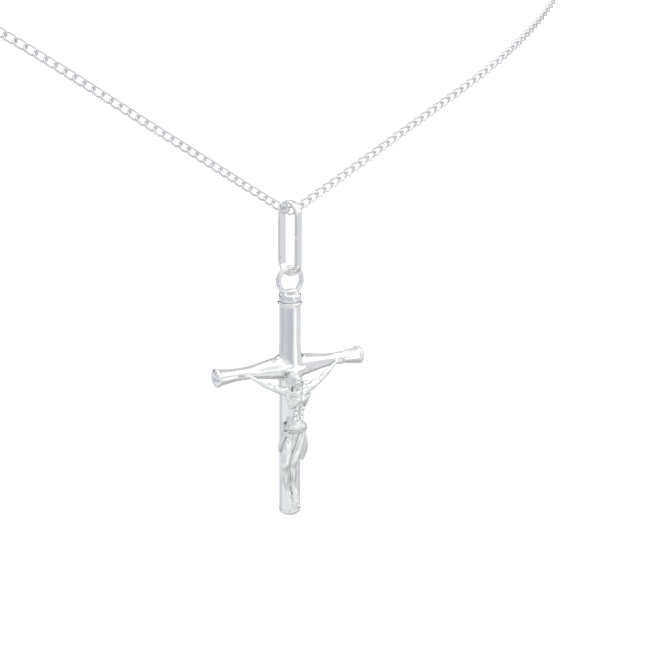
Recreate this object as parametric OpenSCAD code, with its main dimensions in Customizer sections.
// Crucifix pendant in silver, hanging from its bail on a fine curb chain.
// The origin is where the chain rests on the nape of the neck. +Z is up, the figure faces -Y,
// and the chain runs forward and down to the bail. All sizes are in millimetres.

/* [Cross] */
// Diameter of the upright tube
upright_d = 2.6; // [2.2:0.1:3.2]
// Upright above the crossbar's axis, up to the collar
upright_rise = 7.9; // [6.5:0.1:10]
// Upright below the crossbar's axis, down to the tip of its dome
upright_drop = 19.05; // [18.4:0.1:24]
// Diameter of the crossbar along its plain stretch
crossbar_d = 1.5; // [1.3:0.1:1.9]
// Crossbar from dome to dome
crossbar_span = 19.9; // [18:0.1:24]
// Diameter of both tubes where they swell to meet
junction_d = 2.95; // [2.8:0.05:3.2]
// Length of the swelling along each side of the crossbar
junction_reach = 6; // [4.5:0.5:7]
// Diameter of the lip at each end of the crossbar
crossbar_lip_d = 2.2; // [1.8:0.05:2.4]
// Diameter of the lip at the foot of the upright
foot_lip_d = 2.75; // [2.5:0.05:3.5]

/* [Collar and eyelet] */
// Diameter of the collar on top of the upright
collar_d = 2.95; // [2.7:0.05:3.6]
// Height of the collar
collar_h = 1; // [0.8:0.1:1.4]
// Outer diameter of the eyelet
eyelet_d = 3.6; // [3.4:0.1:4.2]
// Thickness of the eyelet's wire
eyelet_wire = 0.62; // [0.5:0.02:0.7]

/* [Bail] */
// Height of the bail, end to end
bail_h = 8.8; // [7.5:0.1:11]
// Depth of the bail, front to back
bail_depth = 3.35; // [3.1:0.05:4]
// Width of the bail's band
bail_w = 1; // [0.8:0.05:1.1]
// Thickness of the bail's band
bail_wall = 0.45; // [0.35:0.05:0.6]
// Turn of the hanging bail about its own height, in degrees
bail_turn = 14; // [0:1:20]
// Width of the open seam where the bail's ends meet
bail_seam = 0.08; // [0.04:0.02:0.2]
// Free height between the eyelet's wire and the bail under it
eyelet_gap = 0.2; // [0.18:0.01:0.3]
// Free height between the chain and the bail over it
chain_gap = 0.15; // [0.12:0.01:0.3]

/* [Chain] */
// Width of the chain's loop, side to side
loop_w = 126; // [118:1:134]
// Depth of the chain's loop, from the nape to the pendant
loop_depth = 104; // [98:1:110]
// Fall of the chain's loop, from the nape down to the bail
loop_fall = 62; // [58:1:66]
// Width of the chain
chain_d = 1.1; // [0.8:0.05:1.2]
// Outer diameter of the ring clasp
clasp_d = 5.5; // [5:0.1:7]
// Thickness of the ring clasp's tube
clasp_wire = 1.1; // [0.9:0.05:1.3]
// Outer diameter of the clasp's own small eye
clasp_eye_d = 2; // [1.8:0.1:2.6]
// Outer diameter of the end ring
end_ring_d = 3.2; // [3:0.1:4]
// Thickness of the wire of the end ring and of the clasp's small eye
ring_wire = 0.5; // [0.4:0.02:0.55]
// Free play between the end ring and the clasp's tube
clasp_play = 0.12; // [0.1:0.01:0.2]

/* [Figure] */
// Height of the figure, crown to sole, as if it stood straight
figure_h = 16.8; // [16:0.1:17.6]
// Reach of each hand from the upright's axis
hand_reach = 6.25; // [5.8:0.05:6.8]
// Head of each nail
nail_d = 0.5; // [0.4:0.02:0.6]

/* [Hidden] */
silver = [0.88, 0.89, 0.91];

// Route of the chain from the clasp's eye to the end ring: x, y, z as shares of the loop's half
// width, depth and fall. The three rows on each side of the bail make the straight arms of the V
// that carries it.
ROUTE_RIGHT = [[0.222, 0.005, 0], [0.508, 0.048, 0.024], [0.794, 0.163, 0.073], [0.952, 0.327, 0.153],
    [1, 0.5, 0.25], [0.968, 0.673, 0.371], [0.857, 0.827, 0.5], [0.683, 0.933, 0.613],
    [0.476, 0.99, 0.732], [0.238, 1, 0.868], [0.04, 1, 0.982]];
ROUTE_LEFT = [[-0.04, 1, 0.979], [-0.238, 1, 0.848], [-0.476, 0.99, 0.69], [-0.683, 0.933, 0.565],
    [-0.857, 0.827, 0.46], [-0.968, 0.673, 0.347], [-1, 0.5, 0.242], [-0.952, 0.327, 0.153],
    [-0.794, 0.163, 0.073], [-0.508, 0.048, 0.024], [-0.222, 0.005, 0]];
function on_loop(rows) = [for (r = rows) [r.x * loop_w / 2, -r.y * loop_depth, -r.z * loop_fall]];
bail_point = on_loop([[0, 1, 1]])[0];
route_steps = 3;
chain_sides = 8;
// The chain's centre line rises this much inside the bail, from its lowest point to the band's edge
chain_rise = 0.1;
// The loop's own tilt: a direction that the chain never runs along
loop_normal = [0, -0.51, 0.86];

clasp_r = (clasp_d - clasp_wire) / 2;
clasp_eye_r = (clasp_eye_d - ring_wire) / 2;
end_ring_r = (end_ring_d - ring_wire) / 2;
// The small eye is soldered on with a third of its wire sunk in the clasp's tube
clasp_eye_x = clasp_r + clasp_wire / 2 + clasp_eye_r + ring_wire / 6;
// The end ring hooks round the clasp's tube
end_ring_x = -clasp_r + clasp_wire / 2 + clasp_play + ring_wire / 2 - end_ring_r;
end_touch = 0.05;
route_start = [clasp_eye_x + clasp_eye_r + ring_wire / 2 - end_touch, 0, 0];
route_end = [end_ring_x - end_ring_r - ring_wire / 2 + end_touch, 0, 0];

bail_top = bail_point.z + chain_rise + chain_d / 2 + chain_gap + bail_wall;
bail_end_r = bail_depth / 2;
eyelet_r = (eyelet_d - eyelet_wire) / 2;
// Height of the eyelet's top wire, which is also the line that the cross swings about
cross_pivot = bail_top - bail_h + bail_wall + eyelet_gap + eyelet_wire / 2;
// The eyelet is soldered into the collar by half its wire
eyelet_z = upright_rise + collar_h + eyelet_r;
crossbar_z = cross_pivot - eyelet_z - eyelet_r;
cross_place = [bail_point.x, bail_point.y, crossbar_z];

// Point on the smooth curve through b and c, with its neighbours a and d, at share t
function curve_point(a, b, c, d, t) =
    0.5 * (2 * b + (c - a) * t + (2 * a - 5 * b + 4 * c - d) * t * t
           + (3 * b - a - 3 * c + d) * t * t * t);
function smooth_route(p, steps) = let (last = len(p) - 1) [
    for (i = [0:last - 1], k = [0:steps - 1])
        curve_point(p[max(i - 1, 0)], p[i], p[i + 1], p[min(i + 2, last)], k / steps),
    p[last]];
function unit(v) = v / norm(v);
function along(p, i) = unit(p[min(i + 1, len(p) - 1)] - p[max(i - 1, 0)]);
// Direction across the line t that lies nearest to v
function across(v, t) = unit(v - (v * t) * t);

// Ring of points round centre c, across the line t: half width a towards w, half depth b
function ring(c, t, w, a, b, count) = let (u = across(w, t), v = cross(t, u)) [
    for (i = [0:count - 1]) c + u * a * cos(360 * i / count) + v * b * sin(360 * i / count)];

// Closed skin over a list of rings of equal count
module skin(rings) {
    count = len(rings[0]);
    last = len(rings) - 1;
    middle = function (r) [for (k = [0:2]) [for (p = r) p[k]] * [for (p = r) 1 / len(r)]];
    points = concat([for (r = rings) each r], [middle(rings[0]), middle(rings[last])]);
    foot = len(points) - 2;
    sides = [for (j = [0:last - 1], i = [0:count - 1]) let (n = (i + 1) % count)
        each [[j * count + i, (j + 1) * count + i, (j + 1) * count + n],
              [j * count + i, (j + 1) * count + n, j * count + n]]];
    ends = [for (i = [0:count - 1]) let (n = (i + 1) % count)
        each [[foot, i, n], [foot + 1, last * count + n, last * count + i]]];
    polyhedron(points, concat(sides, ends));
}

// Limb or strand through a table of x, y, z, half width, half depth, with its width towards w
module limb(rows, w, count) {
    points = [for (r = rows) [r[0], r[1], r[2]]];
    skin([for (i = [0:len(rows) - 1])
        ring(points[i], along(points, i), w, rows[i][3], rows[i][4], count)]);
}

// Radius of the crossbar and of the upright at a distance from where their axes cross
function swelling(distance, reach) =
    distance < reach ? (1 + cos(180 * distance / reach)) / 2 : 0;
upright_reach = junction_reach * 0.6;
function swollen(d, share) = (d + (junction_d - d) * share) / 2;
function crossbar_r(x) = swollen(crossbar_d, swelling(abs(x), junction_reach));
function upright_r(z) = swollen(upright_d, swelling(abs(z), upright_reach));

// Half outline of a tube's end, from its plain radius out to the lip and over the dome to the tip
lip_share = 1.25;
dome_share = 0.55;
function dome_rows(lip_r, tip) = [for (k = [0:6])
    [lip_r * cos(15 * k), tip - lip_r * dome_share * (1 - sin(15 * k))]];
function lip_rows(tube_r, lip_r, tip) = let (edge = tip - lip_r * dome_share) [
    [tube_r, edge - lip_r * lip_share],
    [tube_r + (lip_r - tube_r) * 0.3, edge - lip_r * lip_share * 0.5],
    [tube_r + (lip_r - tube_r) * 0.9, edge - lip_r * lip_share * 0.1]];

module crossbar() {
    tip = crossbar_span / 2;
    lip = crossbar_lip_d / 2;
    half = concat([for (k = [0:12]) let (x = junction_reach * k / 12) [crossbar_r(x), x]],
        lip_rows(crossbar_d / 2, lip, tip), dome_rows(lip, tip));
    for (side = [-1, 1])
        rotate([0, side * 90, 0])
            rotate_extrude($fn = 64) polygon(concat([[0, 0]], half));
}

module upright() {
    lip = foot_lip_d / 2;
    rise = [for (k = [0:8]) let (z = upright_reach * k / 8) [upright_r(z), z]];
    rotate_extrude($fn = 64) polygon(concat([[0, 0]], rise, [[upright_d / 2, upright_rise],
        [0, upright_rise]]));
    mirror([0, 0, 1]) rotate_extrude($fn = 64) polygon(concat([[0, 0]], rise,
        lip_rows(upright_d / 2, lip, upright_drop), dome_rows(lip, upright_drop)));
}

// The collar is a low cup with a rolled rim and a domed top, and the eyelet stands in it
roll_share = 0.28;
module collar() {
    r = collar_d / 2;
    roll = collar_h * roll_share;
    translate([0, 0, upright_rise - roll])
        rotate_extrude($fn = 64) polygon([[0, 0], [r - roll / 2, 0], [r, roll / 2], [r, roll],
            [r - roll / 2, roll * 1.5], [r * 0.82, roll * 1.9], [r * 0.72, collar_h],
            [r * 0.5, collar_h + roll], [0, collar_h + roll * 1.3]]);
}

module eyelet() {
    translate([0, 0, eyelet_z]) rotate([90, 0, 0])
        rotate_extrude($fn = 64) translate([eyelet_r, 0]) circle(d = eyelet_wire, $fn = 24);
}

module cross() {
    color(silver) translate(cross_place) union() {
        upright();
        crossbar();
        collar();
        eyelet();
    }
}

// Section of the bail's band: flat inside, crowned outside, from the inner face at u = 0
function band_section() = let (edge = bail_wall * 0.45) concat(
    [[0, -bail_w / 2], [edge, -bail_w / 2]],
    [for (k = [1:5]) let (a = -90 + 30 * k)
        [edge + (bail_wall - edge) * cos(a), bail_w / 2 * sin(a)]],
    [[edge, bail_w / 2], [0, bail_w / 2]]);

// The seam stands this share of the straight stretch above the bail's middle
seam_share = 0.06;
module bail_half_ring(r) {
    rotate_extrude(angle = 180, $fn = 64) translate([r, 0]) polygon(band_section());
}

module bail() {
    inner_r = bail_end_r - bail_wall;
    straight = bail_h - bail_depth;
    color(silver) translate([bail_point.x, bail_point.y, bail_top - bail_h / 2])
        rotate([0, 0, bail_turn]) difference() {
            rotate([90, 0, 90]) union() {
                translate([0, straight / 2, 0]) bail_half_ring(inner_r);
                mirror([0, 1, 0]) translate([0, straight / 2, 0]) bail_half_ring(inner_r);
                for (side = [0, 1]) mirror([side, 0, 0])
                    translate([inner_r, straight / 2, 0]) rotate([90, 0, 0])
                        linear_extrude(straight) polygon(band_section());
            }
            translate([-bail_w, -bail_end_r - bail_wall / 2, straight * seam_share])
                cube([2 * bail_w, 2 * bail_wall, bail_seam]);
        }
}

module chain() {
    route = smooth_route(concat([route_start], on_loop(ROUTE_RIGHT), [bail_point],
        on_loop(ROUTE_LEFT), [route_end]), route_steps);
    color(silver) skin([for (i = [0:len(route) - 1])
        ring(route[i], along(route, i), loop_normal, chain_d / 2, chain_d / 2, chain_sides)]);
}

module wire_ring(r, wire) {
    rotate_extrude($fn = 64) translate([r, 0]) circle(d = wire, $fn = 24);
}

module clasp() {
    color(silver) rotate([90, 0, 0]) union() {
        wire_ring(clasp_r, clasp_wire);
        translate([clasp_eye_x, 0, 0]) wire_ring(clasp_eye_r, ring_wire);
    }
}

module end_ring() {
    color(silver) translate([end_ring_x, 0, 0]) wire_ring(end_ring_r, ring_wire);
}

// The figure. Its tables hold shares of figure_h, from the point on the upright's front at the
// height of the crossbar's axis: x to the right, y towards the back, z up.
back_y = -upright_d / 2;
figure_place = [0, back_y, 0];
seat_depth = 0.04;
hand_y = -crossbar_r(hand_reach) - figure_h * 0.016;
// z, centre x, centre y, half width, half depth
TORSO = [
    [-0.078, -0.002, -0.036, 0.028, 0.022], [-0.096, 0.001, -0.036, 0.046, 0.028],
    [-0.112, 0.002, -0.038, 0.070, 0.035], [-0.135, 0.003, -0.043, 0.088, 0.045],
    [-0.165, 0.003, -0.048, 0.093, 0.054], [-0.195, 0.001, -0.051, 0.089, 0.057],
    [-0.230, -0.004, -0.047, 0.077, 0.050], [-0.265, -0.006, -0.042, 0.066, 0.042],
    [-0.300, -0.008, -0.040, 0.057, 0.037], [-0.340, -0.012, -0.040, 0.056, 0.037],
    [-0.380, -0.016, -0.041, 0.064, 0.041], [-0.420, -0.021, -0.044, 0.074, 0.046],
    [-0.460, -0.026, -0.046, 0.078, 0.048], [-0.495, -0.030, -0.046, 0.066, 0.040]];
// x, y, z, half width, half depth
THIGH_AND_SHANK_NEAR = [
    [-0.060, -0.045, -0.430, 0.042, 0.042], [-0.080, -0.055, -0.500, 0.046, 0.046],
    [-0.102, -0.071, -0.570, 0.041, 0.042], [-0.118, -0.084, -0.622, 0.036, 0.037],
    [-0.125, -0.087, -0.655, 0.036, 0.034], [-0.121, -0.077, -0.690, 0.032, 0.030],
    [-0.112, -0.064, -0.730, 0.036, 0.033], [-0.102, -0.055, -0.775, 0.034, 0.031],
    [-0.089, -0.046, -0.830, 0.026, 0.024], [-0.078, -0.041, -0.882, 0.020, 0.020],
    [-0.070, -0.041, -0.915, 0.022, 0.024], [-0.063, -0.050, -0.950, 0.024, 0.019],
    [-0.056, -0.060, -0.985, 0.026, 0.014], [-0.053, -0.066, -1.012, 0.018, 0.009]];
THIGH_AND_SHANK_FAR = [
    [0.014, -0.045, -0.430, 0.042, 0.042], [0.002, -0.054, -0.500, 0.046, 0.046],
    [-0.026, -0.069, -0.565, 0.041, 0.042], [-0.048, -0.081, -0.612, 0.036, 0.037],
    [-0.056, -0.084, -0.643, 0.036, 0.034], [-0.056, -0.074, -0.678, 0.032, 0.030],
    [-0.050, -0.062, -0.718, 0.036, 0.033], [-0.044, -0.054, -0.763, 0.034, 0.031],
    [-0.037, -0.047, -0.818, 0.026, 0.024], [-0.030, -0.045, -0.870, 0.020, 0.020],
    [-0.024, -0.050, -0.904, 0.022, 0.024], [-0.025, -0.062, -0.939, 0.024, 0.019],
    [-0.028, -0.073, -0.972, 0.026, 0.014], [-0.030, -0.079, -0.999, 0.018, 0.009]];
// share of the way from shoulder to wrist, drop below the straight line, half width, half depth
ARM = [[0, 0, 0.030, 0.028], [0.12, 0.007, 0.029, 0.027], [0.28, 0.014, 0.025, 0.023],
    [0.42, 0.018, 0.021, 0.019], [0.52, 0.018, 0.019, 0.018], [0.64, 0.015, 0.021, 0.018],
    [0.80, 0.008, 0.016, 0.014], [0.94, 0.002, 0.011, 0.010], [1, 0, 0.011, 0.009]];
shoulder = figure_h * [0.074, -0.042, -0.142];
// height, half width, front, back, from the middle of the head
HEAD = [[-0.064, 0.012, 0.036, 0.000], [-0.057, 0.027, 0.043, 0.014], [-0.045, 0.036, 0.045, 0.028],
    [-0.030, 0.042, 0.046, 0.042], [-0.012, 0.046, 0.046, 0.050], [0.003, 0.047, 0.043, 0.054],
    [0.015, 0.048, 0.047, 0.055], [0.033, 0.046, 0.046, 0.054], [0.050, 0.037, 0.036, 0.045],
    [0.061, 0.023, 0.022, 0.028], [0.066, 0.008, 0.006, 0.008]];
HAIR = [[-0.095, 0.034, -0.016, 0.040], [-0.075, 0.046, -0.004, 0.052], [-0.045, 0.053, 0.008, 0.060],
    [-0.010, 0.055, 0.014, 0.065], [0.020, 0.056, 0.030, 0.066], [0.045, 0.050, 0.042, 0.060],
    [0.062, 0.038, 0.034, 0.046], [0.074, 0.014, 0.012, 0.018]];
head_middle = figure_h * [-0.036, -0.072, -0.066];
// Bowed forward, and leaning to the figure's right
head_tilt = [24, -14, 0];
// z, centre x, half width, half depth, depth of the folds
CLOTH = [[-0.384, -0.018, 0.068, 0.046, 0.000], [-0.394, -0.020, 0.080, 0.057, 0.003],
    [-0.412, -0.023, 0.085, 0.060, 0.005], [-0.435, -0.027, 0.084, 0.059, 0.005],
    [-0.470, -0.034, 0.088, 0.062, 0.006], [-0.510, -0.042, 0.092, 0.065, 0.007],
    [-0.545, -0.050, 0.093, 0.066, 0.008], [-0.572, -0.056, 0.092, 0.065, 0.009]];
cloth_y = -0.042;
cloth_folds = 11;
cloth_sides = 44;
// Degrees that the folds turn round the hips for each figure_h of height
fold_slant = 900;

// Oval with its own front and back depth, as a head has
function head_ring(row, count) = [for (i = [0:count - 1]) let (a = 360 * i / count)
    figure_h * [row[1] * cos(a), (sin(a) < 0 ? row[2] : row[3]) * sin(a), row[0]]];

module head() {
    translate(head_middle) rotate(head_tilt) {
        skin([for (row = HEAD) head_ring(row, 20)]);
        skin([for (row = HAIR) head_ring(row, 20)]);
        // Nose, and a short beard round the chin
        hull() {
            translate(figure_h * [0, -0.046, 0.008]) sphere(figure_h * 0.006, $fn = 12);
            translate(figure_h * [0, -0.056, -0.012]) sphere(figure_h * 0.008, $fn = 12);
        }
        hull() {
            for (side = [-1, 1])
                translate(figure_h * [side * 0.022, -0.030, -0.045])
                    sphere(figure_h * 0.016, $fn = 16);
            translate(figure_h * [0, -0.036, -0.072]) sphere(figure_h * 0.011, $fn = 16);
        }
    }
    neck = figure_h * [[-0.012, -0.052, -0.098, 0.026, 0.026], [-0.022, -0.060, -0.080, 0.024, 0.025],
        [-0.032, -0.068, -0.062, 0.023, 0.024]];
    limb(neck, [1, 0, 0], 14);
}

module arm(side) {
    start = [side * shoulder.x, shoulder.y, shoulder.z];
    wrist = [side * (hand_reach - figure_h * 0.042), hand_y - back_y, -figure_h * 0.014];
    limb([for (row = ARM) let (p = start + (wrist - start) * row[0])
        [p.x, p.y, p.z - figure_h * row[1], figure_h * row[2], figure_h * row[3]]],
        [0, 0, 1], 14);
    // Palm, four bent fingers and the thumb
    palm = [side * hand_reach, hand_y - back_y, figure_h * 0.004];
    hull() {
        translate(wrist) sphere(figure_h * 0.010, $fn = 12);
        for (up = [-1, 1])
            translate(palm + figure_h * [side * 0.008, 0, up * 0.011])
                sphere(figure_h * 0.009, $fn = 12);
    }
    for (k = [0:3]) hull() {
        root = palm + figure_h * [side * 0.014, -0.002, (k - 1.5) * 0.0085];
        translate(root) sphere(figure_h * 0.0062, $fn = 12);
        translate(root + figure_h * [side * (0.020 - 0.002 * abs(k - 1)), -0.014, -0.002])
            sphere(figure_h * 0.0048, $fn = 12);
    }
    hull() {
        translate(palm + figure_h * [-side * 0.006, -0.004, 0.014])
            sphere(figure_h * 0.0065, $fn = 12);
        translate(palm + figure_h * [side * 0.012, -0.012, 0.022])
            sphere(figure_h * 0.0048, $fn = 12);
    }
    nail_at(palm);
}

// Square-shouldered nail head standing out of the figure, with its pin running into the cross
module nail_at(p) {
    head_h = nail_d * 0.45;
    pin = figure_h * 0.012;
    translate(p) rotate([90, 0, 0]) {
        translate([0, 0, -pin]) cylinder(d = nail_d * 0.5, h = 2 * pin + head_h / 2, $fn = 16);
        translate([0, 0, pin]) cylinder(d = nail_d, h = head_h, $fn = 16);
    }
}

// Both tables run downwards, so their rings turn the other way
module loincloth() {
    skin([for (row = CLOTH) [for (i = [0:cloth_sides - 1])
        let (a = -360 * i / cloth_sides,
             fold = 1 + row[4] / row[2] * cos(cloth_folds * a + fold_slant * row[0]))
        figure_h * [row[1] + row[2] * cos(a) * fold, cloth_y + row[3] * sin(a) * fold, row[0]]]]);
    // Knot on the figure's right hip with its hanging end, and the fall on the left
    hull() {
        translate(figure_h * [-0.112, -0.062, -0.440]) sphere(figure_h * 0.020, $fn = 14);
        translate(figure_h * [-0.098, -0.078, -0.452]) sphere(figure_h * 0.018, $fn = 14);
    }
    limb(figure_h * [[-0.114, -0.066, -0.442, 0.012, 0.012], [-0.128, -0.062, -0.480, 0.020, 0.011],
        [-0.138, -0.056, -0.525, 0.024, 0.009], [-0.140, -0.052, -0.562, 0.017, 0.006]],
        [1, 0, 0], 12);
    limb(figure_h * [[0.030, -0.078, -0.462, 0.017, 0.012], [0.034, -0.080, -0.522, 0.024, 0.012],
        [0.033, -0.073, -0.592, 0.025, 0.011], [0.024, -0.067, -0.656, 0.012, 0.007]],
        [1, 0, 0], 12);
}

module body() {
    skin([for (row = TORSO) [for (i = [0:27]) let (a = -360 * i / 28)
        figure_h * [row[1] + row[3] * cos(a), row[2] + row[4] * sin(a), row[0]]]]);
    limb(figure_h * THIGH_AND_SHANK_NEAR, [1, 0, 0], 16);
    limb(figure_h * THIGH_AND_SHANK_FAR, [1, 0, 0], 16);
}

// The cast figure is cut to seat on the tubes, a little sunk where it is soldered
module seat() {
    translate([0, 0, -upright_drop]) cylinder(r = upright_d / 2 - seat_depth,
        h = upright_drop + upright_rise, $fn = 64);
    for (side = [-1, 1]) rotate([0, side * 90, 0]) rotate_extrude($fn = 64)
        polygon(concat([[0, 0]], [for (k = [0:12]) let (x = junction_reach * k / 12)
            [crossbar_r(x) - seat_depth, x]],
            [[crossbar_d / 2 - seat_depth, crossbar_span / 2], [0, crossbar_span / 2]]));
}

module corpus() {
    color(silver) translate(cross_place) difference() {
        translate(figure_place) {
            body();
            head();
            for (side = [-1, 1]) arm(side);
            loincloth();
            nail_at(figure_h * [-0.044, -0.062, -0.932]);
        }
        seat();
    }
}

chain();
clasp();
end_ring();
bail();
cross();
corpus();
